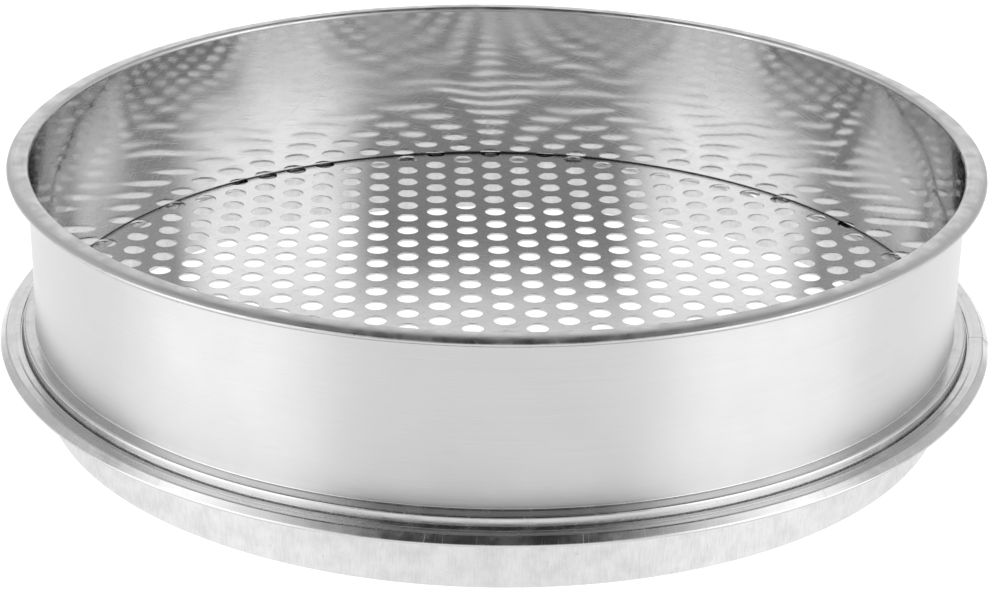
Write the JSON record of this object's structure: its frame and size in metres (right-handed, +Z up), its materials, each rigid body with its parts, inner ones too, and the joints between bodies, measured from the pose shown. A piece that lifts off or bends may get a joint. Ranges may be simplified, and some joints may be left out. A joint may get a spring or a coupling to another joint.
{
  "type": "soil sieve",
  "caption": "Round steel soil sieve: a straight rimmed wall above a plate with round holes, seamed to a lower ring whose skirt nests into the next sieve.",
  "frame": {"origin": "centre of the skirt's bottom edge, on the surface that the sieve stands on", "axes": "+Z up along the sieve's axis, from the skirt to the rim; the butt joint of the rolled seam lies 8 degrees clockwise from +X, seen from above"},
  "size_m": [0.2164, 0.2164, 0.0535],
  "materials": {
    "frame_steel": "bright rolled steel, polished inside the basin",
    "plate_steel": "bright punched steel sheet",
    "ring_steel": "satin on the skirt, burnished on the rolled seam"
  },
  "bodies": {
    "root": {"upper_frame": "frame_steel", "sieve_plate": "plate_steel", "lower_ring": "ring_steel"}
  },
  "joints": []
}
